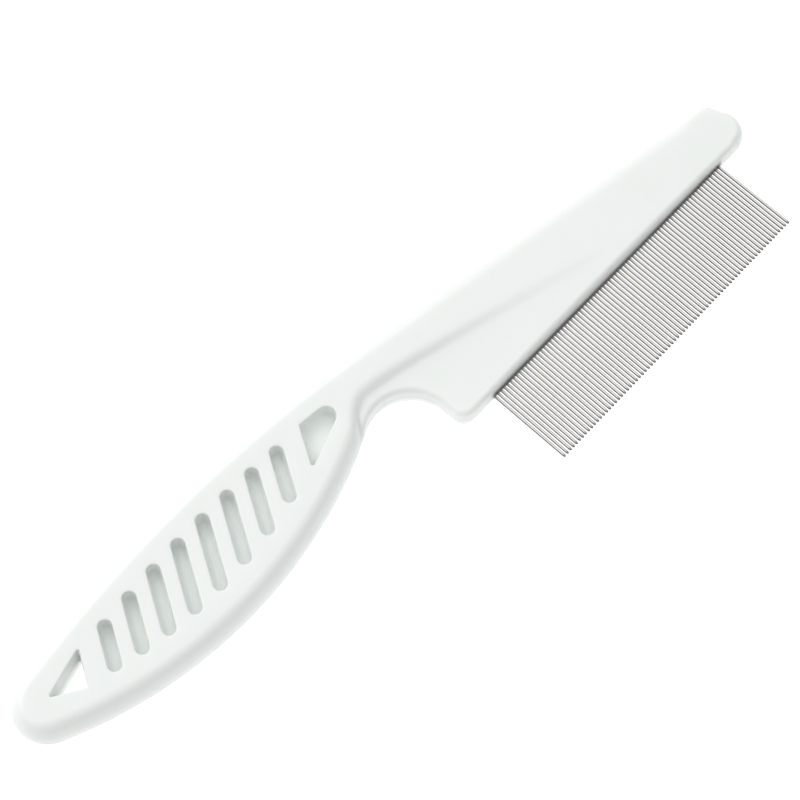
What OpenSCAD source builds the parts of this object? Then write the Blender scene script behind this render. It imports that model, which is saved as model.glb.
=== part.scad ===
// Flea comb: a moulded plastic handle with one row of round steel pins set in its edge.
// Drawn lying flat, tail at -X, head at +X, pins pointing to -Y, front face up.

/* [Overall] */
// Length of the grip, from the tail end to the heel, where the head drops to the pins
grip_length = 96.6; // [88:0.2:116]
// Length of the head, from the heel to its tip
head_length = 83.4; // [69.4:0.2:101]
// Thickness of the grip
grip_t = 9; // [7.5:0.5:11]

/* [Grip] */
// Greatest width of the grip
grip_w = 25.2; // [21:0.2:31]
// Radius of the round tail end
tail_r = 6.9; // [5.8:0.1:8.3]
// Height of the tail's centre above the grip's axis
tail_rise = 2.4; // [1:0.1:3]
// Distance from the tail end to the widest point of the back edge
back_belly_x = 48; // [40:1:57]
// Distance from the tail end to the widest point of the palm edge
palm_belly_x = 43.5; // [37:0.5:52]
// How far the rounding of the long edges reaches in over the faces
edge_round = 3.2; // [1.5:0.1:4]

/* [Head] */
// Angle at which the back edge falls towards the tip
back_angle = 9.6; // [8:0.1:11]
// Drop from the grip's axis to the edge that holds the pins
pin_edge_drop = 16.5; // [15:0.1:19.2]
// Radius of the finger notch between grip and heel
notch_r = 8.6; // [7.2:0.1:10.3]
// Drop from the grip's axis to the centre of the finger notch
notch_drop = 11; // [9.2:0.1:11.5]
// Distance from the neck, where the grip's back edge ends, to the heel
neck_gap = 4.6; // [3.8:0.1:5.6]
// Radius of the heel's corner
heel_r = 3; // [1:0.1:4]
// Radius of the nose, where the pin edge turns up to the tip
nose_r = 4.5; // [3:0.1:5.5]
// Lean of the tip's end face
tip_lean = 23; // [10:1:30]
// Thickness of the cheek at the heel
heel_t = 6.6; // [5.5:0.1:8.8]
// Thickness of the cheek at the tip
tip_t = 5.5; // [4:0.1:6]
// Rounding of the tip's end, front and back
tip_round = 1.6; // [0.5:0.1:2]

/* [Ridge] */
// Height above the grip's axis at which the foot of the ridge leaves the neck
valley_rise = -0.7; // [-1.6:0.1:0.8]
// Angle at which the foot of the ridge runs down towards the pin edge
valley_angle = 14.8; // [12:0.2:18]
// Thickness of the ridge at the tip
ridge_tip_t = 5.6; // [5:0.1:7]

/* [Pockets] */
// Distance along the axis from one slot to the next
slot_pitch = 6.36; // [5.2:0.01:7.6]
// Width of a slot
slot_w = 2.7; // [1.8:0.1:3.4]
// Lean of the slots from the grip's axis
slot_angle = 59.5; // [52:0.5:70]
// Distance from the tail end to the first slot, on the axis
first_slot_x = 21; // [20:0.2:24]
// Width of solid rim left between the pockets and the edge
rim = 5.9; // [4.5:0.1:7]
// Thickness of the web between the front and back pockets
web_t = 1.8; // [1:0.1:3]
// Wall between the end pockets and the slot next to them
pocket_wall = 4.1; // [2.5:0.1:5]
// Distance from the tail end to the pointed end of the hanging hole
hole_tip_x = 7.9; // [7.6:0.1:11]
// Distance from the head end of the thumb pocket to the heel
pocket_gap = 15; // [13:0.1:18.3]
// Least distance from the last slot to the head end of the thumb pocket
thumb_room = 15.8; // [13.1:0.1:19]
// Radius of the two corners on the thumb pocket's slanted side
pocket_corner_r = 0.4; // [0.2:0.1:1]
// Radius of the thumb pocket's head end
pocket_end_r = 1.9; // [0.8:0.1:2.2]
// Corner radius of the hanging hole
hole_r = 0.3; // [0.2:0.1:0.8]

/* [Pins] */
// Distance from one pin to the next
pin_pitch = 0.855; // [0.71:0.005:1.03]
// Diameter of a pin
pin_d = 0.55; // [0.4:0.01:0.66]
// Length of a pin outside the edge
pin_reach = 17.6; // [14:0.1:22]
// Length of a pin inside the edge
pin_seat = 6; // [4:0.1:7]
// Distance from the heel to the first pin
first_pin_gap = 8.5; // [6:0.1:10.2]
// Least distance from the last pin to the head's tip
last_pin_gap = 9.9; // [8.2:0.1:11.9]

/* [Hidden] */
// The pins stand in a fixed number of banks along the row, one node for each bank
bank_count = 11;
function bank_name(b) = str("pin_bank_", b < 10 ? "0" : "", b);

$fn = 48;
eps = 0.02;
// How far a cutter runs past the face that it opens
past = 1;
half_w = grip_w / 2;
overall_length = grip_length + head_length;
heel_x = grip_length;
neck_x = heel_x - neck_gap;
pin_edge_y = -pin_edge_drop;
pin_tip_y = pin_edge_y - pin_reach;

// Each long edge of the grip is two arcs that meet at its belly, half_w away from the axis.
// Radius of the one that touches the tail's circle, whose centre lies rise towards that edge.
function belly_r(x, rise) =
    ((x - tail_r) ^ 2 + (half_w - rise) ^ 2 - tail_r ^ 2) / (2 * (half_w - rise - tail_r));
tail_c = [tail_r, tail_rise];
back_tail_r = belly_r(back_belly_x, tail_rise);
palm_tail_r = belly_r(palm_belly_x, -tail_rise);

// The back edge's other arc reaches the neck at the head's angle
back_neck_r = (neck_x - back_belly_x) / sin(back_angle);

// The palm edge's other arc touches the finger notch, which touches the heel's upright face
notch_c = [heel_x - notch_r, -notch_drop];
palm_neck_r = ((half_w - notch_drop) ^ 2 + (notch_c.x - palm_belly_x) ^ 2 - notch_r ^ 2)
    / (2 * (half_w - notch_drop + notch_r));

// Radius and centre of the arc that holds at x, for an edge moved in by a margin
function back_r(x) = x < back_belly_x ? back_tail_r : back_neck_r;
function palm_r(x) = x < palm_belly_x ? palm_tail_r : palm_neck_r;
function back_c(x) = [back_belly_x, half_w - back_r(x)];
function palm_c(x) = [palm_belly_x, palm_r(x) - half_w];

// Points where the arcs leave the tail's circle
function touch(c) = tail_c + tail_r * (tail_c - c) / norm(tail_c - c);
back_touch = touch(back_c(0));
palm_touch = touch(palm_c(0));
notch_turn = atan2(palm_c(neck_x).y - notch_c.y, palm_c(neck_x).x - notch_c.x);

// Straight back edge of the head, from the neck to the tip
back_line = back_c(neck_x) + back_neck_r * [sin(back_angle), cos(back_angle)];
function back_line_y(x) = back_line.y - (x - back_line.x) * tan(back_angle);

// Nose circle and the leaning end face that touches it
nose_c = [overall_length - nose_r, pin_edge_y + nose_r];
end_touch = nose_c + nose_r * [cos(tip_lean), sin(tip_lean)];
function end_line_y(x) = nose_c.y + (nose_r - (x - nose_c.x) * cos(tip_lean)) / sin(tip_lean);

// Height of a circle's edge above its centre, at a distance along the length
function rise(x, c, r) = sqrt(max(0, r ^ 2 - (x - c) ^ 2));

// Heights of the grip's two edges, or of lines that run a margin inside them
function grip_top_y(x, in = 0) = back_c(x).y + rise(x, back_belly_x, back_r(x) - in);
function grip_low_y(x, in = 0) = palm_c(x).y - rise(x, palm_belly_x, palm_r(x) - in);

// Back edge of the whole handle
function back_y(x) =
    x < back_touch.x ? tail_c.y + rise(x, tail_c.x, tail_r)
    : x < back_line.x ? grip_top_y(x)
    : x < end_touch.x ? min(back_line_y(x), end_line_y(x))
    : nose_c.y + rise(x, nose_c.x, nose_r);

// Palm edge of the grip and, past the neck, the lower limit of the ridge
function palm_y(x) = x < palm_touch.x ? tail_c.y - rise(x, tail_c.x, tail_r) : grip_low_y(x);
function valley_y(x) = valley_rise - (x - neck_x) * tan(valley_angle);
function head_low_y(x) =
    x < nose_c.x ? max(pin_edge_y, valley_y(x)) : nose_c.y - rise(x, nose_c.x, nose_r);
function ridge_low_y(x) = x < neck_x ? min(palm_y(x), valley_y(x)) : head_low_y(x);

// Half thickness of grip and ridge, rounded down at both ends
function end_fall(d, r) = d >= r ? 1 : sqrt(1 - (1 - max(0, d) / r) ^ 2);
function taper(x, t0, t1) = t0 + (t1 - t0) * max(0, x - neck_x) / (overall_length - neck_x);
function ridge_half(x) =
    taper(x, grip_t, ridge_tip_t) / 2
    * end_fall(x + eps, edge_round) * end_fall(overall_length + eps - x, tip_round);

// One ring of the ridge: flat front and back, elliptic sides
ring_steps = 7;
function ring(x) =
    let (
        hi = back_y(x),
        lo = ridge_low_y(x),
        h = ridge_half(x),
        f = min(edge_round, (hi - lo) / 2 - eps / 2)
    )
    [for (q = [0:3], k = [0:ring_steps]) let (
        a = 90 * (q + k / ring_steps),
        centre = q == 0 || q == 3 ? hi - f : lo + f
    ) [x, centre + f * cos(a), h * sin(a)]];

// Stations along the length, closer together where the outline turns quickly
function steps(a, b, n) = [for (k = [0:n - 1]) a + (b - a) * k / n];
tail_stations = [for (a = [8:9:80]) tail_r * (1 - cos(a))];
grip_stations = steps(tail_r, notch_c.x, 20);
neck_stations = steps(notch_c.x, heel_x, 6);
head_stations = steps(heel_x, nose_c.x, 15);
tip_stations = [for (a = [0:10:80]) nose_c.x + nose_r * sin(a)];
stations = concat([eps], tail_stations, grip_stations, neck_stations, head_stations,
    tip_stations, [overall_length - eps]);

// Solid through a list of rings that all have the same number of points
module loft(rings) {
    n = len(rings[0]);
    last = len(rings) - 1;
    sides = [for (i = [0:last - 1], j = [0:n - 1], t = [0, 1]) let (
        a = i * n + j,
        b = i * n + (j + 1) % n
    ) t == 0 ? [a, a + n, b] : [b, a + n, b + n]];
    ends = [[for (j = [0:n - 1]) j], [for (j = [n - 1:-1:0]) last * n + j]];
    polyhedron([for (r = rings) each r], concat(sides, ends));
}

// Points along an arc, from one angle to the other
function arc(c, r, a0, a1, n = 12) =
    [for (k = [0:n]) let (a = a0 + (a1 - a0) * k / n) c + r * [cos(a), sin(a)]];

// Outline of the cheek, from the neck round the notch, heel and nose to the back edge
cheek_start_x = notch_c.x - notch_r;
function cheek_outline() = concat(
    [[cheek_start_x, back_y(cheek_start_x) - edge_round]],
    [[cheek_start_x, palm_y(cheek_start_x) + edge_round]],
    arc(notch_c, notch_r, notch_turn, 0),
    arc([heel_x + heel_r, pin_edge_y + heel_r], heel_r, 180, 270),
    arc(nose_c, nose_r, -90, tip_lean),
    [for (x = [tip_corner_x - edge_round, back_line.x]) [x, back_line_y(x) - edge_round]]
);
// Where the back edge meets the end face
tip_corner_x = (back_line.y + back_line.x * tan(back_angle) - nose_c.y
    - (nose_r + nose_c.x * cos(tip_lean)) / sin(tip_lean))
    / (tan(back_angle) - 1 / tan(tip_lean));

// Side view of the cheek, thinning from heel to tip
module cheek_side() {
    polygon([
        [cheek_start_x, -heel_t / 2], [heel_x, -heel_t / 2], [overall_length, -tip_t / 2],
        [overall_length, tip_t / 2], [heel_x, heel_t / 2], [cheek_start_x, heel_t / 2]
    ]);
}

module cheek() {
    intersection() {
        linear_extrude(grip_t, center = true) polygon(cheek_outline());
        translate([0, half_w, 0]) rotate([90, 0, 0])
            linear_extrude(half_w + pin_edge_drop + past) cheek_side();
    }
}

// Where a slanted line that crosses the axis at x meets a circle
slot_dir = [cos(slot_angle), sin(slot_angle)];
function slant_meets(x, c, r, side) =
    let (
        p = [x, 0] - c,
        b = p * slot_dir,
        s = -b + side * sqrt(b ^ 2 - p * p + r ^ 2)
    )
    [x, 0] + s * slot_dir;

// Where it meets the grip's edges, moved in by a margin: at first by the tail's side arc,
// and by the other arc if that point lies past the belly
function slant_top(x, in) =
    let (p = slant_meets(x, back_c(0), back_r(0) - in, 1))
    p.x < back_belly_x ? p : slant_meets(x, back_c(neck_x), back_r(neck_x) - in, 1);
function slant_low(x, in) =
    let (p = slant_meets(x, palm_c(0), palm_r(0) - in, -1))
    p.x < palm_belly_x ? p : slant_meets(x, palm_c(neck_x), palm_r(neck_x) - in, -1);

// Middle of the pocket field's height at x
function field_mid_y(x) = (grip_top_y(x, rim) + grip_low_y(x, rim)) / 2;

// Distance along the axis that a wall of width w takes up between slanted edges
function along(w) = w / sin(slot_angle);
pocket_end_x = heel_x - pocket_gap;
slot_count = 1 + floor((pocket_end_x - thumb_room - first_slot_x) / slot_pitch);
last_slot_x = first_slot_x + (slot_count - 1) * slot_pitch;
hole_side_x = first_slot_x - along(slot_w / 2 + pocket_wall);
pocket_side_x = last_slot_x + along(slot_w / 2 + pocket_wall);

module slot(x) {
    r = slot_w / 2;
    polygon(concat(
        arc(slant_top(x, rim + r), r, slot_angle - 90, slot_angle + 90),
        arc(slant_low(x, rim + r), r, slot_angle + 90, slot_angle + 270)
    ));
}

// Corner of a pocket on a slanted side at x: centre of the circle of radius r that rounds it,
// turned towards the head (dir = 1) or the tail (dir = -1)
function top_corner(x, r, dir) = slant_top(x + dir * along(r), rim + r);
function low_corner(x, r, dir) = slant_low(x + dir * along(r), rim + r);

module disc(centre, r) {
    translate(centre) circle(r);
}

module hanging_hole() {
    hull() {
        disc([hole_tip_x + hole_r, field_mid_y(hole_tip_x)], hole_r);
        disc(top_corner(hole_side_x, hole_r, -1), hole_r);
        disc(low_corner(hole_side_x, hole_r, -1), hole_r);
    }
}

module thumb_pocket() {
    end_x = pocket_end_x - pocket_end_r;
    hull() {
        disc(top_corner(pocket_side_x, pocket_corner_r, 1), pocket_corner_r);
        disc(low_corner(pocket_side_x, pocket_corner_r, 1), pocket_corner_r);
        disc([end_x, grip_top_y(end_x, rim + pocket_end_r)], pocket_end_r);
    }
}

module pocket_plan() {
    for (i = [0:slot_count - 1]) slot(first_slot_x + i * slot_pitch);
    thumb_pocket();
}

module pockets() {
    depth = (grip_t - web_t) / 2;
    for (side = [0, 1]) mirror([0, 0, side])
        translate([0, 0, web_t / 2]) linear_extrude(depth + past) pocket_plan();
    linear_extrude(grip_t + 2 * past, center = true) hanging_hole();
}

// Pins lie in the middle plane and point to -Y
row_room = head_length - first_pin_gap - last_pin_gap;
pin_count = 1 + floor(row_room / pin_pitch);
function pin_x(i) = heel_x + first_pin_gap + i * pin_pitch;

// First pin of a bank: the row is dealt out to the banks as evenly as it goes
function bank_start(b) = round((b - 1) * pin_count / bank_count);

module pin(i) {
    translate([pin_x(i), pin_edge_y + pin_seat, 0]) rotate([90, 0, 0])
        cylinder(d = pin_d, h = pin_seat + pin_reach - pin_d / 2);
    translate([pin_x(i), pin_tip_y + pin_d / 2, 0]) sphere(d = pin_d);
}

module pin_bore(i) {
    translate([pin_x(i), pin_edge_y + pin_seat, 0]) rotate([90, 0, 0])
        cylinder(d = pin_d, h = pin_seat + past);
}

// Moves the drawing so that the origin is the middle of its box, at the bottom
module placed() {
    translate([-overall_length / 2, -(half_w + pin_tip_y) / 2, grip_t / 2]) children();
}

module handle() {
    color("white") placed() difference() {
        union() {
            loft([for (x = stations) ring(x)]);
            cheek();
        }
        pockets();
        for (i = [0:pin_count - 1]) pin_bore(i);
    }
}

module pin_bank(b) {
    color("silver") placed()
        for (i = [bank_start(b):bank_start(b + 1) - 1]) pin(i);
}

handle();
for (b = [1:bank_count]) pin_bank(b);
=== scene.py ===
import math
import random

import bmesh
import bpy
import numpy as np
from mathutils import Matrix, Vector
from mathutils.geometry import delaunay_2d_cdt


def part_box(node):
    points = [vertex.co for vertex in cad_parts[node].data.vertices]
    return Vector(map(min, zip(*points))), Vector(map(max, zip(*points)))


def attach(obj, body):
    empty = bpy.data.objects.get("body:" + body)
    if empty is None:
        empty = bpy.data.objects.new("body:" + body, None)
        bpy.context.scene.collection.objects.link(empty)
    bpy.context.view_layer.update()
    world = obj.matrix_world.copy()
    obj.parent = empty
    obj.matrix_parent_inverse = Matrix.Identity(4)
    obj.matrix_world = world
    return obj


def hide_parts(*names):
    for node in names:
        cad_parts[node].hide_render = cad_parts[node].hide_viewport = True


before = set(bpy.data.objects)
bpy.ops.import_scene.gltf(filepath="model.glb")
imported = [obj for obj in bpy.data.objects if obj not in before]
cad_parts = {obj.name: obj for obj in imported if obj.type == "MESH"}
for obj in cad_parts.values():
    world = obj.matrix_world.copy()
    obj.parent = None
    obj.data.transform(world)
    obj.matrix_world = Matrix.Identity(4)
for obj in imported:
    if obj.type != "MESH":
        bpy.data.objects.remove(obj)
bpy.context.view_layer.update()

mm = 0.001

# All shapes are worked out in millimetres: x from the tail end, y from the grip's axis,
# z from the middle plane. The CAD frame says where that is in the scene.
handleLow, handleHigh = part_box("handle")

# sizes of the handle, in millimetres and degrees
handleShape = {
    "gripWidth": 25.2,
    "tailRadius": 6.9,
    "tailRise": 2.4,
    "backBelly": 48.0,        # widest point of the back edge, from the tail
    "palmBelly": 43.5,        # widest point of the palm edge, from the tail
    "headLength": 83.4,
    "neckGap": 4.6,           # neck to heel
    "backAngle": 9.6,
    "notchRadius": 8.6,
    "notchDrop": 11.0,
    "heelRadius": 3.0,
    "noseRadius": 4.5,
    "tipLean": 23.0,
    "tipCornerRadius": 2.4,
    "cornerRun": 5.0,         # length of back edge beside the tip's corner with the end's rounding
    "gripHalf": 4.5,          # half thicknesses
    "tipHalf": 2.8,
    "longRound": 3.2,         # rounding of grip and back edge, seen from the front
    "endRound": 1.7,          # the same at the head's end
    "cheekRound": 1.1,        # fillet along the cheek's own edge
    "pinWallDraft": 9.0,
    "sideDraft": 5.0,
    "notchRound": 1.6,        # rounding of notch and heel
    "pinEdgeRound": 1.9,      # rounding above the pins
    "blend": 0.35,            # softness of the valley between ridge and cheek
    "seam": 0.05,             # how far the parting line stands proud
}
valley = {
    "top": 0.75,
    "start": 90.2,
    "slope": 0.268,
    "bend": 4.0,
    "drop": 1.75,             # depth of the cheek under the ridge at the neck
    "end": 150.0,             # the ridge has died away here
    "curve": 0.55,            # how far the cheek curves up again beside the crease
    "curveReach": 2.5,
    "leave": 80.0,            # the ridge's foot leaves the palm edge here
    "join": 88.5,             # and follows the crease from here
    "neckWidth": 3.1,         # width of the ridge's fall at the neck
    "spread": 0.03,           # and how much wider it gets for each millimetre on
    "fallTurn": 14.0,         # the crease's lean, over which that width is measured
    "fadePower": 1.5,
    "cheekStart": 79.0,       # the cheek rises from nothing here
    "cheekRun": 5.0,          # and is whole after this length
    "softEdge": 1.5,          # the valley hardens in this distance from the edge
}
pocketShape = {
    "slotPitch": 6.36,
    "slotWidth": 2.7,
    "slotAngle": 59.5,
    "firstSlot": 21.0,
    "slotCount": 8,
    "rim": 5.9,
    "endWall": 4.1,
    "holeTip": 7.9,
    "thumbGap": 15.0,
    "thumbCorner": 0.4,
    "thumbEnd": 1.9,
    "holeCorner": 0.3,
    "webHalf": 0.9,
    "lip": 0.22,              # rounding of the rim
    "floorRound": 0.9,
    "draft": 5.0,
}


def unit(angle):
    a = math.radians(angle)
    return np.array([math.cos(a), math.sin(a)])


def arcPoints(centre, radius, start, end, step):
    count = max(2, round(abs(math.radians(end - start)) * radius / step))
    angles = np.radians(np.linspace(start, end, count + 1))
    return np.asarray(centre) + radius * np.stack([np.cos(angles), np.sin(angles)], 1)


def linePoints(a, b, step):
    a, b = np.asarray(a, float), np.asarray(b, float)
    count = max(1, round(np.linalg.norm(b - a) / step))
    return a + (b - a) * np.linspace(0, 1, count + 1)[:, None]


def angleOf(v):
    return math.degrees(math.atan2(v[1], v[0]))


# the curves of the handle's outline
s = handleShape
halfWidth = s["gripWidth"] / 2
length = (handleHigh.x - handleLow.x) / mm
axisY = handleHigh.y - halfWidth * mm
midZ = (handleLow.z + handleHigh.z) / 2
pinEdge = (handleLow.y - axisY) / mm
heelX = length - s["headLength"]
neckX = heelX - s["neckGap"]
tailC = np.array([s["tailRadius"], s["tailRise"]])


def bellyRadius(x, rise):
    r = s["tailRadius"]
    return ((x - r) ** 2 + (halfWidth - rise) ** 2 - r ** 2) / (2 * (halfWidth - rise - r))


backR = [bellyRadius(s["backBelly"], s["tailRise"]),
         (neckX - s["backBelly"]) / math.sin(math.radians(s["backAngle"]))]
backC = [np.array([s["backBelly"], halfWidth - r]) for r in backR]
notchC = np.array([heelX - s["notchRadius"], -s["notchDrop"]])
palmSpan = halfWidth - s["notchDrop"]
palmR = [bellyRadius(s["palmBelly"], -s["tailRise"]),
         (palmSpan ** 2 + (notchC[0] - s["palmBelly"]) ** 2 - s["notchRadius"] ** 2)
         / (2 * (palmSpan + s["notchRadius"]))]
palmC = [np.array([s["palmBelly"], r - halfWidth]) for r in palmR]
backLine = backC[1] + backR[1] * unit(90 - s["backAngle"])
noseC = np.array([length - s["noseRadius"], pinEdge + s["noseRadius"]])
endTouch = noseC + s["noseRadius"] * unit(s["tipLean"])


def meet(p, d, q, e):
    # where the line through p along d meets the line through q along e
    t = np.linalg.solve(np.stack([d, -e], 1), q - p)
    return p + d * t[0]


def palmY(x):
    return palmC[1][1] - np.sqrt(np.maximum(0, palmR[1] ** 2 - (x - palmC[1][0]) ** 2))


# The outline as lists of points, counter-clockwise from the top of the tail. Each piece also
# says how wide its rounding is, its wall's draft, and whose rounding follows it: 0 the cheek's,
# 1 the ridge's, 2 the ridge's and the cheek's.
def outlinePieces():
    tipCorner = meet(endTouch, unit(s["tipLean"] + 90), backLine, unit(-s["backAngle"]))
    turn = 90 - s["tipLean"] - s["backAngle"]
    back = s["tipCornerRadius"] * math.tan(math.radians(turn / 2))
    corner = s["tipCornerRadius"]
    cornerC = tipCorner - unit(s["tipLean"] + 90) * back - unit(s["tipLean"]) * corner
    backTip = cornerC + corner * unit(90 - s["backAngle"])
    backWide = backTip - s["cornerRun"] * unit(-s["backAngle"])
    backTurn = angleOf(tailC - backC[0])
    palmTurn = angleOf(tailC - palmC[0]) % 360
    notchTurn = angleOf(palmC[1] - notchC)
    heelC = np.array([heelX + s["heelRadius"], pinEdge + s["heelRadius"]])
    wide, end, notch, pinTop = s["longRound"], s["endRound"], s["notchRound"], s["pinEdgeRound"]
    side, pin = s["sideDraft"], s["pinWallDraft"]
    return [
        (arcPoints(tailC, s["tailRadius"], backTurn, palmTurn, 0.5), wide, side, 1),
        (arcPoints(palmC[0], palmR[0], palmTurn, 270, 0.9), wide, side, 1),
        (arcPoints(palmC[1], palmR[1], 270, notchTurn + 180, 0.7), wide, side, 1),
        (arcPoints(notchC, s["notchRadius"], notchTurn, 0, 0.35), notch, side, 0),
        (linePoints([heelX, notchC[1]], [heelX, heelC[1]], 0.35), notch, side, 0),
        (arcPoints(heelC, s["heelRadius"], 180, 270, 0.25), notch, side, 0),
        (linePoints([heelC[0], pinEdge], [noseC[0], pinEdge], 0.6), pinTop, pin, 0),
        (arcPoints(noseC, s["noseRadius"], -90, s["tipLean"], 0.35), end, side, 2),
        (linePoints(endTouch, cornerC + corner * unit(s["tipLean"]), 0.4), end, side, 2),
        (arcPoints(cornerC, corner, s["tipLean"], 90 - s["backAngle"], 0.2), end, side, 2),
        (linePoints(backTip, backWide, 0.8), end, side, 2),
        (linePoints(backWide, backLine, 0.8), wide, side, 2),
        (arcPoints(backC[1], backR[1], 90 - s["backAngle"], 90, 0.9), wide, side, 2),
        (arcPoints(backC[0], backR[0], 90, backTurn, 0.9), wide, side, 2),
    ]


def smoothLoop(values, arc, reach):
    # softens a step in a value along the closed outline, over a distance of reach millimetres
    total = arc[-1]
    out = np.zeros(len(values))
    for i, here in enumerate(arc[:-1]):
        gap = np.abs(arc[:-1] - here)
        gap = np.minimum(gap, total - gap)
        weight = np.maximum(0, 1 - (gap / reach) ** 2) ** 2 * spacing
        out[i] = (values * weight).sum() / weight.sum()
    return out


points, widths, drafts, followed = [], [], [], []
for piece, width, draft, follows in outlinePieces():
    points.append(piece[:-1])
    widths += [width] * (len(piece) - 1)
    drafts += [draft] * (len(piece) - 1)
    followed += [follows] * (len(piece) - 1)
outline = np.vstack(points)
steps = np.linalg.norm(np.roll(outline, -1, 0) - outline, axis=1)
arc = np.concatenate([[0], np.cumsum(steps)])
spacing = (steps + np.roll(steps, 1)) / 2
edgeWidth = smoothLoop(np.array(widths), arc, 5)
edgeDraft = smoothLoop(np.array(drafts), arc, 9)
followed = np.array(followed)
tangent = np.roll(outline, -1, 0) - np.roll(outline, 1, 0)
tangent /= np.linalg.norm(tangent, axis=1)[:, None]
inward = np.stack([-tangent[:, 1], tangent[:, 0]], 1)
print("outline:", len(outline), "points,", round(arc[-1], 1), "mm round")


def nearest(p, keep):
    # distance of each point to the kept outline points' segments, and the nearest index
    index = np.nonzero(keep)[0]
    best = np.full(len(p), 1e9)
    at = np.zeros(len(p), int)
    for start in range(0, len(p), 4000):
        part = p[start:start + 4000]
        d = ((part[:, None, :] - outline[index][None]) ** 2).sum(2)
        at[start:start + 4000] = index[d.argmin(1)]
        best[start:start + 4000] = np.sqrt(d.min(1))
    side = ((p - outline[at]) * inward[at]).sum(1)
    along = ((p - outline[at]) * tangent[at]).sum(1)
    close = np.abs(along) < steps[at]
    return np.where(close, np.maximum(side, 0), best), at


def softMax(a, b, k):
    h = np.clip(0.5 + 0.5 * (a - b) / k, 0, 1)
    return b + (a - b) * h + k * h * (1 - h)


def taper(x, start, a, b):
    return a + (b - a) * np.clip((x - start) / (length - start), 0, 1)


def ease(x, a, b):
    f = np.clip((x - a) / (b - a), 0, 1)
    return f * f * (3 - 2 * f)


def roundOff(t):
    # quarter ellipse: 0 at the edge, 1 from its width inwards
    return np.sqrt(np.maximum(0, 1 - (1 - np.clip(t, 0, 1)) ** 2))


def wallHeight(half, d, draft):
    # height over a drafted wall with a fillet, d millimetres in from the wall's foot
    lean = np.radians(draft)
    r = s["cheekRound"]
    foot = (half - r * (1 - np.sin(lean))) * np.tan(lean)
    u = np.clip(1 - (d - foot) / (r * np.cos(lean)), 0, 1)
    fillet = half - r + r * np.sqrt(np.maximum(0, 1 - (u * np.cos(lean)) ** 2))
    return np.where(d < foot, np.minimum(d / np.maximum(np.tan(lean), 1e-3), fillet), fillet)


def creaseY(x):
    t = x - valley["start"]
    ramp = (t + np.sqrt(t * t + valley["bend"] ** 2)) / 2
    return valley["top"] - valley["slope"] * ramp


def heightAt(p):
    # height of the front face over the middle plane, without the pockets
    x, y = p[:, 0], p[:, 1]
    everyD, everyAt = nearest(p, np.ones(len(outline), bool))
    ridgeD, ridgeAt = nearest(p, followed > 0)
    backD, backAt = nearest(p, followed == 2)
    cheekD, cheekAt = nearest(p, followed == 0)
    ridgeHalf = taper(x, neckX, s["gripHalf"], s["tipHalf"])

    # the cheek lies a little under the ridge, and curves up to it
    fade = np.clip((valley["end"] - x) / (valley["end"] - neckX), 0, 1) ** valley["fadePower"]
    rise = fade * valley["curve"] * np.exp(np.minimum(0, y - creaseY(x)) / valley["curveReach"])
    cheekHalf = ridgeHalf - valley["drop"] * fade + rise

    # ridge: flat, rounded at the long edges, and falling to the crease on the cheek's side
    narrower = valley["neckWidth"] - s["longRound"]
    fallWidth = s["longRound"] + ease(x, valley["leave"], neckX) * narrower
    fallWidth += np.maximum(0, x - neckX) * valley["spread"]
    depth = fade * (valley["drop"] - valley["curve"]) / ridgeHalf
    creaseT = 1 - np.sqrt(1 - (1 - depth) ** 2)
    run = fallWidth / math.cos(math.radians(valley["fallTurn"]))
    foot = creaseY(x) - creaseT * run
    low = np.where(x < valley["join"], palmY(np.minimum(x, neckX)), foot)
    low += (foot - low) * ease(x, valley["leave"], valley["join"])
    lowT = np.where(x < valley["leave"], 9, (y - low) / run)
    ridge = ridgeHalf * roundOff(np.minimum(ridgeD / edgeWidth[ridgeAt], lowT))
    ridge = np.minimum(ridge, wallHeight(ridgeHalf, cheekD, edgeDraft[cheekAt]))

    # cheek: flat, with a drafted wall and a fillet
    cheek = wallHeight(cheekHalf, everyD, edgeDraft[everyAt])
    cheek = np.minimum(cheek, ridgeHalf * roundOff(backD / edgeWidth[backAt]))
    cheek = cheek * np.clip((x - valley["cheekStart"]) / valley["cheekRun"], 0, 1)
    softness = np.minimum(s["blend"], np.maximum(0.01, ridgeHalf - cheekHalf))
    return softMax(ridge, cheek, softness * np.clip(everyD / valley["softEdge"], 0.02, 1))


# pockets: each is a closed loop of points with its outward normals, counter-clockwise
pk = pocketShape
slotDir = unit(pk["slotAngle"])


def slantMeets(x, centres, radii, margin, side, belly):
    for which in (0, 1):
        p = np.array([x, 0.0]) - centres[which]
        b = p @ slotDir
        t = -b + side * math.sqrt(b * b - p @ p + (radii[which] - margin) ** 2)
        q = np.array([x, 0.0]) + t * slotDir
        if which == 1 or q[0] < belly:
            return q


def slantTop(x, margin):
    return slantMeets(x, backC, backR, margin, 1, s["backBelly"])


def slantLow(x, margin):
    return slantMeets(x, palmC, palmR, margin, -1, s["palmBelly"])


def fieldMiddle(x):
    k = 0 if x < s["backBelly"] else 1
    top = backC[k][1] + math.sqrt((backR[k] - pk["rim"]) ** 2 - (x - backC[k][0]) ** 2)
    low = palmC[k][1] - math.sqrt((palmR[k] - pk["rim"]) ** 2 - (x - palmC[k][0]) ** 2)
    return np.array([x, (top + low) / 2])


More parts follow.
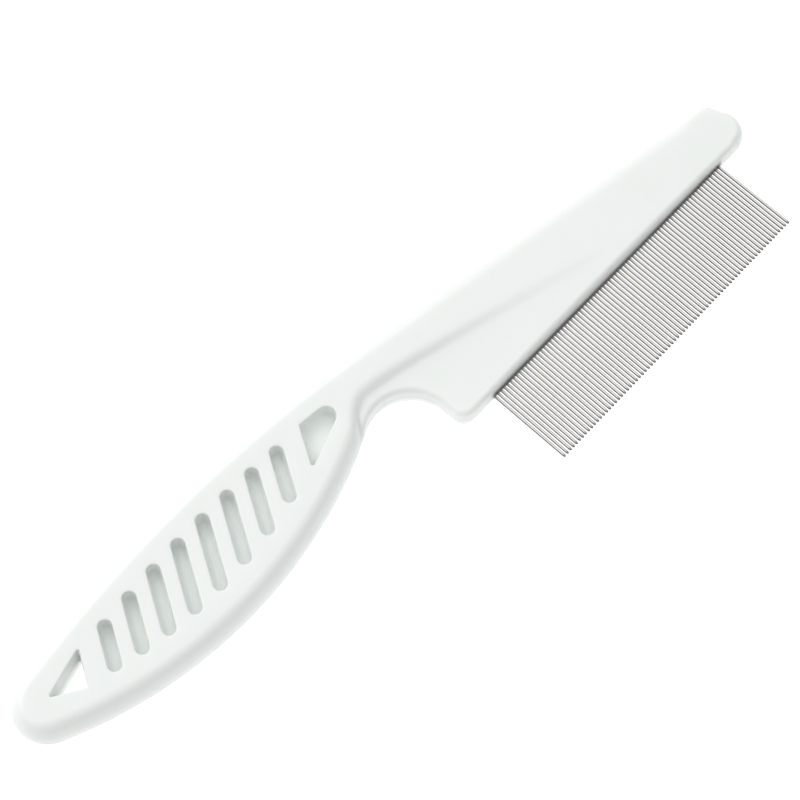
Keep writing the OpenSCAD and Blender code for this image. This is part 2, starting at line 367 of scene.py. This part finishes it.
def cornerLoop(circles, cornerSteps=8, sideStep=1.2):
    # a pocket's edge drawn round circles (centre, radius), counter-clockwise
    count = len(circles)
    turns, reach, runs = [], [], []
    for i in range(count):
        (c, r), (d, q) = circles[i], circles[(i + 1) % count]
        gap = np.linalg.norm(d - c)
        turns.append(angleOf(d - c) - math.degrees(math.acos((r - q) / gap)))
        reach.append(unit(turns[i]) @ c + r)
        runs.append(max(1, round(gap / sideStep)))

    def ring(offset):
        # corners that an inward offset would turn inside out end in a point
        arcs = []
        for i in range(count):
            before, after = turns[i - 1], turns[i]
            while after < before:
                after += 360
            radius = max(circles[i][1] + offset, 0.02)
            centre = np.linalg.solve(np.array([unit(before), unit(after)]),
                                     np.array([reach[i - 1], reach[i]]) + offset - radius)
            arcs.append([centre + radius * unit(a) for a in np.linspace(before, after, cornerSteps)])
        out = []
        for i in range(count):
            out += arcs[i]
            a, b = arcs[i][-1], arcs[(i + 1) % count][0]
            out += [a + (b - a) * k / runs[i] for k in range(1, runs[i])]
        return np.array(out)
    return ring


def slotLoop(x):
    r = pk["slotWidth"] / 2
    top, low = slantTop(x, pk["rim"] + r), slantLow(x, pk["rim"] + r)
    base, face = [], []
    for centre, start in ((top, -90), (low, 90)):
        for a in np.linspace(start, start + 180, 15):
            base.append(centre)
            face.append(unit(pk["slotAngle"] + a))
        other = low if start < 0 else top
        n = max(1, round(np.linalg.norm(other - centre) / 1.2))
        for k in range(1, n):
            base.append(centre + (other - centre) * k / n)
            face.append(unit(pk["slotAngle"] + start + 180))
    base, face = np.array(base), np.array(face)
    return lambda offset: base + face * (r + offset)


def alongAxis(width):
    return width / math.sin(math.radians(pk["slotAngle"]))


endGap = alongAxis(pk["slotWidth"] / 2 + pk["endWall"])
lastSlot = pk["firstSlot"] + (pk["slotCount"] - 1) * pk["slotPitch"]
holeSide, thumbSide = pk["firstSlot"] - endGap, lastSlot + endGap
blindLoops = [slotLoop(pk["firstSlot"] + i * pk["slotPitch"]) for i in range(pk["slotCount"])]


def topCorner(x, r, way):
    return slantTop(x + way * alongAxis(r), pk["rim"] + r), r


def lowCorner(x, r, way):
    return slantLow(x + way * alongAxis(r), pk["rim"] + r), r


thumbEnd = heelX - pk["thumbGap"] - pk["thumbEnd"]
thumbEndY = backC[1][1] + math.sqrt(
    (backR[1] - pk["rim"] - pk["thumbEnd"]) ** 2 - (thumbEnd - backC[1][0]) ** 2)
blindLoops.append(cornerLoop([
    topCorner(thumbSide, pk["thumbCorner"], 1),
    lowCorner(thumbSide, pk["thumbCorner"], 1),
    (np.array([thumbEnd, thumbEndY]), pk["thumbEnd"])]))
holeLoop = cornerLoop([
    (fieldMiddle(pk["holeTip"]) + (pk["holeCorner"], 0), pk["holeCorner"]),
    lowCorner(holeSide, pk["holeCorner"], -1),
    topCorner(holeSide, pk["holeCorner"], -1)])


def pocketProfile(floorZ, closed):
    # pairs of offset from the drawn edge and height, from the face down
    lip, face = pk["lip"], s["gripHalf"]
    rows = []
    for k in range(5):
        a = math.radians(90 * k / 4)
        rows.append((lip * (1 - math.sin(a)), face - lip * (1 - math.cos(a))))
    top = face - lip
    lean = math.tan(math.radians(pk["draft"]))
    if closed:
        r = pk["floorRound"]
        bottom = floorZ + r
        inset = (top - bottom) * lean
        for k in (0.33, 0.67):
            rows.append((-inset * k, top + (bottom - top) * k))
        for k in range(6):
            a = math.radians(90 * k / 5)
            rows.append((-inset - r * (1 - math.cos(a)), bottom - r * math.sin(a)))
    else:
        for k in (0.33, 0.67, 1.0):
            rows.append((-(top - floorZ) * lean * k, top + (floorZ - top) * k))
    return rows


class Skin:
    # gathers points and faces of the front half
    def __init__(self):
        self.points, self.faces = [], []

    def add(self, ring):
        start = len(self.points)
        self.points += [tuple(p) for p in ring]
        return list(range(start, start + len(ring)))

    def band(self, a, b):
        n = len(a)
        for i in range(n):
            j = (i + 1) % n
            self.faces.append((a[i], a[j], b[j], b[i]))


def withZ(xy, z):
    return np.column_stack([xy, np.broadcast_to(z, len(xy))])


# how the face is divided into points, in millimetres
faceGrid = {
    "sideRings": 16,          # rings of points round the rounded side
    "change": 80.0,           # the points lie closer together from here on
    "gripStep": 1.6,
    "headStep": 0.55,
    "clearance": 0.7,         # how far they keep from a pocket's edge
}
# the parting line's steps inwards and up, from its crest to its foot
seamSteps = ((0.005, 0.0), (0.012, 0.035), (s["seam"], 0.09))


def frontHalf():
    skin = Skin()
    # rounded sides, from the parting line inwards
    rings = []
    body = outline + inward * s["seam"]
    for step, z in seamSteps:
        rings.append(skin.add(withZ(outline + inward * step, z)))
    sideRings = faceGrid["sideRings"]
    for k in range(1, sideRings + 1):
        f = 1 - math.cos(math.radians(90 * k / sideRings))
        xy = body + inward * (edgeWidth * f)[:, None]
        rings.append(skin.add(withZ(xy, np.maximum(heightAt(xy), 0.1 + 0.02 * k))))
    for a, b in zip(rings, rings[1:]):
        skin.band(a, b)
    inner = rings[-1]
    loops = [inner]

    # pockets and hanging hole
    pockets = [(loop, pk["webHalf"], True) for loop in blindLoops] + [(holeLoop, 0.0, False)]
    for loop, floorZ, closed in pockets:
        ids = []
        for offset, z in pocketProfile(floorZ, closed):
            ids.append(skin.add(withZ(loop(offset), z)))
        for a, b in zip(ids, ids[1:]):
            skin.band(a, b)
        if closed:
            skin.faces.append(tuple(ids[-1]))
        loops.append(ids[0])

    # the face between them: points on a grid, denser where the surface curves
    grids = []
    change = faceGrid["change"]
    for x0, x1, step in ((0, change, faceGrid["gripStep"]), (change, length, faceGrid["headStep"])):
        nx = int((x1 - x0) / step)
        for i in range(nx):
            ys = np.arange(pinEdge, halfWidth, step) + (i % 2) * step / 2
            xs = np.full(len(ys), x0 + (i + 0.5) * step)
            grids.append(np.column_stack([xs, ys, np.full(len(ys), step)]))
    grid = np.vstack(grids)
    d, at = nearest(grid[:, :2], np.ones(len(outline), bool))
    side = ((grid[:, :2] - outline[at]) * inward[at]).sum(1)
    keep = (side > 0) & (d > edgeWidth[at] + s["seam"] + grid[:, 2] * 0.6)
    grid = grid[keep]
    for loop in blindLoops + [holeLoop]:
        ring = loop(pk["lip"])
        over = np.ones(len(grid), bool)
        for a, b in zip(ring, np.roll(ring, -1, 0)):
            cross = (b[0] - a[0]) * (grid[:, 1] - a[1]) - (b[1] - a[1]) * (grid[:, 0] - a[0])
            over &= cross > -faceGrid["clearance"] * np.linalg.norm(b - a)
        grid = grid[~over]
    extra = grid[:, :2]

    flat, edges, where = [], [], []
    for loop in loops:
        start = len(flat)
        flat += [Vector(skin.points[i][:2]) for i in loop]
        where += loop
        n = len(loop)
        edges += [(start + i, start + (i + 1) % n) for i in range(n)]
    extraIds = skin.add(withZ(extra, heightAt(extra)))
    flat += [Vector(p) for p in extra]
    where += extraIds
    verts, _, tris, origin, _, _ = delaunay_2d_cdt(flat, edges, [], 0, 1e-7, True)
    assert all(len(o) for o in origin), "the face's triangles need a point that isn't there"
    ids = [where[o[0]] for o in origin]
    # drop triangles outside the face: over a pocket, or outside the rounded side
    holes = [np.array([skin.points[i][:2] for i in loop]) for loop in loops[1:]]
    rim = np.array([skin.points[i][:2] for i in inner])
    centres = np.array([[sum(verts[i].x for i in t) / 3, sum(verts[i].y for i in t) / 3]
                        for t in tris])
    good = insideLoop(centres, rim)
    for hole in holes:
        good &= ~insideLoop(centres, hole)
    for t, ok in zip(tris, good):
        if ok:
            a, b, c = (verts[i] for i in t)
            turn = (b.x - a.x) * (c.y - a.y) - (b.y - a.y) * (c.x - a.x)
            t = t if turn > 0 else t[::-1]
            skin.faces.append(tuple(ids[i] for i in t))
    return skin


def insideLoop(p, loop):
    inside = np.zeros(len(p), bool)
    a, b = loop, np.roll(loop, -1, 0)
    for (x0, y0), (x1, y1) in zip(a, b):
        if y0 == y1:
            continue
        spans = (y0 > p[:, 1]) != (y1 > p[:, 1])
        inside ^= spans & (p[:, 0] < (x1 - x0) * (p[:, 1] - y0) / (y1 - y0) + x0)
    return inside


def toScene(x, y, z):
    return x * mm + handleLow.x, y * mm + axisY, z * mm + midZ


def meshObject(name, verts, faces):
    mesh = bpy.data.meshes.new(name)
    mesh.from_pydata(verts, [], faces)
    mesh.validate()
    obj = bpy.data.objects.new(name, mesh)
    bpy.context.scene.collection.objects.link(obj)
    mesh.shade_smooth()
    return obj


def buildHandle():
    skin = frontHalf()
    n = len(skin.points)
    verts = [toScene(x, y, z) for x, y, z in skin.points]
    verts += [toScene(x, y, -z) for x, y, z in skin.points]
    faces = skin.faces + [tuple(i + n for i in reversed(f)) for f in skin.faces]
    obj = meshObject("combHandle", verts, faces)
    bm = bmesh.new()
    bm.from_mesh(obj.data)
    bmesh.ops.remove_doubles(bm, verts=bm.verts, dist=2e-6)
    loose = [e for e in bm.edges if len(e.link_faces) != 2]
    print("handle:", len(bm.verts), "points,", len(bm.faces), "faces, open edges:", len(loose))
    bm.to_mesh(obj.data)
    bm.free()
    obj.data.shade_smooth()
    weighted = obj.modifiers.new("flatFaces", "WEIGHTED_NORMAL")
    weighted.weight = 80
    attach(obj, "root")
    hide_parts("handle")
    return obj


# the pins: straight wires with ground, slightly rounded tips
pinShape = {
    "pitch": 0.855,
    "sides": 16,
    "thin": 0.985,            # share of the bore's size, so the wires stay inside the CAD ones
    "seatLength": 6.0,        # inside the plastic, where a wire doesn't bend
    "seatEnd": 0.6,           # share of the thickness left at the inner end
    "tipLength": 0.5,
    "tipLoss": 0.94,          # share of the thickness that the tip's rounding takes off
    "shortest": 0.05,         # how much shorter than drawn a wire may be
    "wander": 0.018,
    "seed": 4,
}


def pinRings(radius, seatY, tipY):
    # y and radius along one wire, from its seat to its tip
    tip = pinShape["tipLength"]
    rings = [(seatY, radius * pinShape["seatEnd"]), (seatY - 0.05, radius)]
    run = tipY + tip - seatY
    rings += [(seatY + run * k, radius) for k in (0.3, 0.36, 0.5, 0.65, 0.8, 0.92, 1.0)]
    for k in range(1, 7):
        a = math.radians(90 * k / 6)
        left = 1 - (1 - math.cos(a)) * pinShape["tipLoss"]
        rings.append((tipY + tip - tip * math.sin(a), radius * left))
    return rings


def buildPins():
    rng = random.Random(pinShape["seed"])
    made = []
    for node in sorted(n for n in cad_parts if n.startswith("pin_bank")):
        low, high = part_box(node)
        radius = (high.z - low.z) / 2 / mm
        span = (high.x - low.x) / mm - 2 * radius
        pinCount = round(span / pinShape["pitch"]) + 1
        bm = bmesh.new()
        for k in range(pinCount):
            x = low.x / mm + radius + span * k / (pinCount - 1)
            # hair-thin wires are never dead straight
            bendX = rng.uniform(-1, 1) * pinShape["wander"]
            bendZ = rng.uniform(-1, 1) * pinShape["wander"]
            short = rng.uniform(0, pinShape["shortest"])
            rows = []
            seatY, tipY = high.y / mm, low.y / mm + short
            mouthY = seatY - pinShape["seatLength"]
            for y, r in pinRings(radius * pinShape["thin"], seatY, tipY):
                f = min(1, max(0, (mouthY - y) / (mouthY - tipY)))
                cx = min(max(x + bendX * f * f, low.x / mm + radius), high.x / mm - radius)
                cz = midZ / mm + bendZ * f * f * 0.2
                ring = []
                for j in range(pinShape["sides"]):
                    a = 2 * math.pi * j / pinShape["sides"]
                    spot = (cx + r * math.cos(a)) * mm, y * mm, (cz + r * math.sin(a)) * mm
                    ring.append(bm.verts.new(spot))
                rows.append(ring)
            for a, b in zip(rows, rows[1:]):
                for j in range(pinShape["sides"]):
                    i = (j + 1) % pinShape["sides"]
                    bm.faces.new((a[j], a[i], b[i], b[j]))
            bm.faces.new(reversed(rows[0]))
            bm.faces.new(rows[-1])
        bmesh.ops.recalc_face_normals(bm, faces=bm.faces)
        name = "pins" + node[-2:]
        mesh = bpy.data.meshes.new(name)
        bm.to_mesh(mesh)
        bm.free()
        obj = bpy.data.objects.new(name, mesh)
        bpy.context.scene.collection.objects.link(obj)
        mesh.shade_smooth()
        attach(obj, "root")
        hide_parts(node)
        made.append(obj)
    print("pins:", len(made), "banks")
    return made


# materials
plasticLook = {
    "colour": (0.86, 0.885, 0.872),
    "cloudy": (0.985, 0.992, 0.985),      # share of the colour where the plastic is cloudy
    "cloudScale": 60.0,
    "roughness": 0.3,
    "wearScale": 900.0,
    "paintedRootShadeColour": (0.03, 0.03, 0.028),    # painted shade: a dark line at the pins' roots, where shadow falls
    "rootFull": 0.5,          # millimetres from the middle plane: full strength up to here
    "rootGone": 2.5,          # and gone from here on
    "bump": 0.05,
    "milky": 0.5,             # how much light goes into the plastic, and how deep, in metres
    "milkyDepth": 0.002,
}
steelLook = {
    "colour": (0.93, 0.91, 0.89),
    "roughness": 0.16,
    "paintedShadeColour": (0.07, 0.066, 0.063),
    "edgeFrom": 0.36,         # where the painted shade on a wire's sides begins and is full: 0 faces up,
    "edgeTo": 0.78,           # 1 faces the next wire
    "tipDark": 1.0,           # painted shade on the ground ends, and how far it reaches
    "tipLength": 0.9,
    "rootDark": 0.2,          # the same beside the plastic
    "rootLength": 2.0,
    "drawnScale": (4000, 150, 4000),      # the die's marks, drawn out along the wire
    "bump": 0.08,
}


def newMaterial(name):
    mat = bpy.data.materials.new(name)
    mat.use_nodes = True
    tree = mat.node_tree
    tree.nodes.clear()
    out = tree.nodes.new("ShaderNodeOutputMaterial")
    shader = tree.nodes.new("ShaderNodeBsdfPrincipled")
    tree.links.new(shader.outputs[0], out.inputs[0])
    return mat, tree, shader


def feed(tree, socket, value):
    # a socket takes another node's output or a plain value
    if isinstance(value, bpy.types.NodeSocket):
        tree.links.new(value, socket)
    else:
        socket.default_value = value


def mathNode(tree, operation, *values):
    node = tree.nodes.new("ShaderNodeMath")
    node.operation = operation
    for socket, value in zip(node.inputs, values):
        feed(tree, socket, value)
    return node.outputs[0]


def rangeNode(tree, value, start, end, toStart=0.0, toEnd=1.0, smooth=False):
    node = tree.nodes.new("ShaderNodeMapRange")
    if smooth:
        node.interpolation_type = "SMOOTHSTEP"
    feed(tree, node.inputs["Value"], value)
    for name, number in zip(("From Min", "From Max", "To Min", "To Max"),
                            (start, end, toStart, toEnd)):
        feed(tree, node.inputs[name], number)
    return node.outputs["Result"]


def noiseNode(tree, where, scale, detail=2.0):
    node = tree.nodes.new("ShaderNodeTexNoise")
    node.inputs["Scale"].default_value = scale
    node.inputs["Detail"].default_value = detail
    if where is not None:
        tree.links.new(where, node.inputs["Vector"])
    return node.outputs["Fac"]


def tintNode(tree, factor, low, high, start, end):
    node = tree.nodes.new("ShaderNodeValToRGB")
    for stop, place, colour in zip(node.color_ramp.elements, (start, end), (low, high)):
        stop.position = place
        stop.color = (*colour, 1)
    tree.links.new(factor, node.inputs["Fac"])
    return node.outputs["Color"]


def mixNode(tree, factor, base, over):
    # inputs 0, 6 and 7 are the factor and the two colours, output 2 is the colour
    node = tree.nodes.new("ShaderNodeMix")
    node.data_type = "RGBA"
    node.inputs[7].default_value = (*over, 1)
    tree.links.new(factor, node.inputs[0])
    tree.links.new(base, node.inputs[6])
    return node.outputs[2]


def bumpNode(tree, height, strength, distance):
    node = tree.nodes.new("ShaderNodeBump")
    node.inputs["Strength"].default_value = strength
    node.inputs["Distance"].default_value = distance
    tree.links.new(height, node.inputs["Height"])
    return node.outputs["Normal"]


def axesNode(tree, vector):
    node = tree.nodes.new("ShaderNodeSeparateXYZ")
    tree.links.new(vector, node.inputs[0])
    return node.outputs


def plasticMaterial():
    mat, tree, shader = newMaterial("glossyMouldedPlastic")
    link = tree.links.new
    look = plasticLook
    where = tree.nodes.new("ShaderNodeTexCoord").outputs["Object"]
    cloud = noiseNode(tree, where, look["cloudScale"], 3.0)
    cloudy = tuple(c * k for c, k in zip(look["colour"], look["cloudy"]))
    tint = tintNode(tree, cloud, cloudy, look["colour"], 0.3, 0.7)

    # painted shade: a thin dark line is painted into the colour on the edge where the pins come out
    place = axesNode(tree, where)
    away = mathNode(tree, "ABSOLUTE", mathNode(tree, "SUBTRACT", place["Z"], midZ))
    firstPin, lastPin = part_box("pin_bank_01")[0].x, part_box("pin_bank_11")[1].x
    paintedRootShade = rangeNode(tree, away, look["rootFull"] * mm, look["rootGone"] * mm, 1.0, 0.0, True)
    for output, full, gone in (
            (place["Y"], handleLow.y + 0.9 * mm, handleLow.y + 1.1 * mm),
            (place["X"], firstPin + 0.5 * mm, firstPin - 0.8 * mm),
            (place["X"], lastPin - 0.5 * mm, lastPin + 0.8 * mm)):
        if full < gone:
            band = rangeNode(tree, output, full, gone, 1.0, 0.0, True)
        else:
            band = rangeNode(tree, output, gone, full, 0.0, 1.0, True)
        paintedRootShade = mathNode(tree, "MULTIPLY", paintedRootShade, band)
    link(mixNode(tree, paintedRootShade, tint, look["paintedRootShadeColour"]), shader.inputs["Base Color"])

    wear = noiseNode(tree, where, look["wearScale"], 4.0)
    rough = rangeNode(tree, wear, 0.0, 1.0, look["roughness"] - 0.05, look["roughness"] + 0.07)
    link(rough, shader.inputs["Roughness"])
    link(bumpNode(tree, cloud, look["bump"], 0.2 * mm), shader.inputs["Normal"])
    shader.inputs["IOR"].default_value = 1.49
    shader.inputs["Subsurface Weight"].default_value = look["milky"]
    shader.inputs["Subsurface Radius"].default_value = (1.0, 1.0, 0.9)
    shader.inputs["Subsurface Scale"].default_value = look["milkyDepth"]
    return mat


def steelMaterial():
    mat, tree, shader = newMaterial("drawnSteelWire")
    link = tree.links.new
    look = steelLook
    coords = tree.nodes.new("ShaderNodeTexCoord").outputs
    stretch = tree.nodes.new("ShaderNodeMapping")
    stretch.inputs["Scale"].default_value = look["drawnScale"]
    link(coords["Object"], stretch.inputs["Vector"])
    drawn = noiseNode(tree, stretch.outputs["Vector"], 1.0, 3.0)
    rough = rangeNode(tree, drawn, 0.0, 1.0, look["roughness"] - 0.06, look["roughness"] + 0.1)
    link(rough, shader.inputs["Roughness"])
    dull = tuple(c * 0.85 for c in look["colour"])
    tint = tintNode(tree, drawn, dull, look["colour"], 0.0, 1.0)

    # painted shade: the sides that two wires turn to each other are darkened in the colour, from any
    # view
    sideways = mathNode(tree, "ABSOLUTE", axesNode(tree, coords["Normal"])["X"])
    sides = rangeNode(tree, sideways, look["edgeFrom"], look["edgeTo"], smooth=True)
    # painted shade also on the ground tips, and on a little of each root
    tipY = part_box("pin_bank_01")[0].y
    reach = (handleLow.y - tipY) / mm
    paintedEndShade = tree.nodes.new("ShaderNodeFloatCurve")
    curve = paintedEndShade.mapping.curves[0]
    curve.points[0].location = (0, look["tipDark"])
    curve.points[1].location = (1, look["rootDark"])
    curve.points.new(look["tipLength"] / reach, 0)
    curve.points.new(1 - look["rootLength"] / reach, 0)
    for point in curve.points:
        point.handle_type = "VECTOR"
    paintedEndShade.mapping.update()
    along = rangeNode(tree, axesNode(tree, coords["Object"])["Y"], tipY, handleLow.y)
    link(along, paintedEndShade.inputs["Value"])
    paintedShade = mathNode(tree, "MAXIMUM", sides, paintedEndShade.outputs[0])
    link(mixNode(tree, paintedShade, tint, look["paintedShadeColour"]), shader.inputs["Base Color"])
    link(mathNode(tree, "SUBTRACT", 1.0, paintedShade), shader.inputs["Metallic"])
    shader.inputs["Specular IOR Level"].default_value = 0.0
    link(bumpNode(tree, drawn, look["bump"], 0.02 * mm), shader.inputs["Normal"])
    return mat


handle = buildHandle()
handle.data.materials.append(plasticMaterial())
steel = steelMaterial()
for bank in buildPins():
    bank.data.materials.append(steel)
print("materials set")

# the studio: a white table, one wide soft light behind the back edge, and a pale room
# that is brightest on that side and overhead
studio = {
    "floorSize": 3.0,
    "tableWhite": 1.15,       # what the table shows
    "tableGlow": 1.28,        # how much light it throws back at the comb
    "keyPower": 3.9,
    "keyPlace": (-0.05, 0.75, 0.7),
    "keySize": (0.9, 0.6),
    "roomDark": 0.5,
    "roomBright": 0.93,
    "roomSide": (0.0, 0.62, 0.78),
    "horizonDark": 0.4,      # how much of the room's light is left at the horizon
    "overhead": 1.12,         # and how much there is straight above
}


def tableMaterial():
    mat, tree, shader = newMaterial("whiteTable")
    glow = studio["tableGlow"]
    grain = noiseNode(tree, None, 40.0)
    tone = rangeNode(tree, grain, 0.0, 1.0, glow - 0.01, glow + 0.01)
    seen = tree.nodes.new("ShaderNodeLightPath").outputs["Is Camera Ray"]
    light = rangeNode(tree, seen, 0.0, 1.0, tone, studio["tableWhite"])
    shader.inputs["Base Color"].default_value = (0.02, 0.02, 0.02, 1)
    shader.inputs["Specular IOR Level"].default_value = 0.0
    shader.inputs["Emission Color"].default_value = (1, 1, 1, 1)
    tree.links.new(light, shader.inputs["Emission Strength"])
    return mat


def buildStudio():
    size = studio["floorSize"]
    corners = [(-size, -size, 0), (size, -size, 0), (size, size, 0), (-size, size, 0)]
    floor = meshObject("floor", corners, [(0, 1, 2, 3)])
    floor.location.z = handleLow.z - 0.0002
    floor.data.materials.append(tableMaterial())

    lamp = bpy.data.lights.new("keyLight", "AREA")
    lamp.shape = "RECTANGLE"
    lamp.size, lamp.size_y = studio["keySize"]
    lamp.energy = studio["keyPower"]
    obj = bpy.data.objects.new("keyLight", lamp)
    obj.location = studio["keyPlace"]
    obj.rotation_mode = "QUATERNION"
    obj.rotation_quaternion = (-Vector(studio["keyPlace"])).to_track_quat("-Z", "Y")
    bpy.context.scene.collection.objects.link(obj)

    world = bpy.data.worlds.new("paleRoom")
    bpy.context.scene.world = world
    world.use_nodes = True
    tree = world.node_tree
    toSky = tree.nodes.new("ShaderNodeTexCoord").outputs["Generated"]
    dot = tree.nodes.new("ShaderNodeVectorMath")
    dot.operation = "DOT_PRODUCT"
    dot.inputs[1].default_value = studio["roomSide"]
    tree.links.new(toSky, dot.inputs[0])
    shade = rangeNode(tree, dot.outputs["Value"], -0.6, 0.75,
                      studio["roomDark"], studio["roomBright"], True)
    horizon = rangeNode(tree, axesNode(tree, toSky)["Z"], 0.0, 1.0,
                        studio["horizonDark"], studio["overhead"], True)
    background = tree.nodes["Background"]
    background.inputs["Color"].default_value = (1, 1, 1, 1)
    tree.links.new(mathNode(tree, "MULTIPLY", shade, horizon), background.inputs["Strength"])


shot = {
    "target": (0.00247, 0.00685),
    "azimuth": -47.2,
    "elevation": 69.0,
    "distance": 0.4554,
    "lens": 109.5,
}


def buildCamera():
    a, e = math.radians(shot["azimuth"]), math.radians(shot["elevation"])
    back = Vector((math.sin(a) * math.cos(e), -math.cos(a) * math.cos(e), math.sin(e)))
    cam = bpy.data.cameras.new("camera")
    cam.lens = shot["lens"]
    cam.sensor_width = 36
    cam.clip_start, cam.clip_end = 0.01, 10
    obj = bpy.data.objects.new("camera", cam)
    bpy.context.scene.collection.objects.link(obj)
    target = Vector((*shot["target"], midZ))
    obj.location = target + back * shot["distance"]
    obj.rotation_mode = "QUATERNION"
    obj.rotation_quaternion = (-back).to_track_quat("-Z", "Y")
    bpy.context.scene.camera = obj


buildStudio()
buildCamera()
bpy.context.scene.view_settings.view_transform = "Standard"
print("studio and camera set")
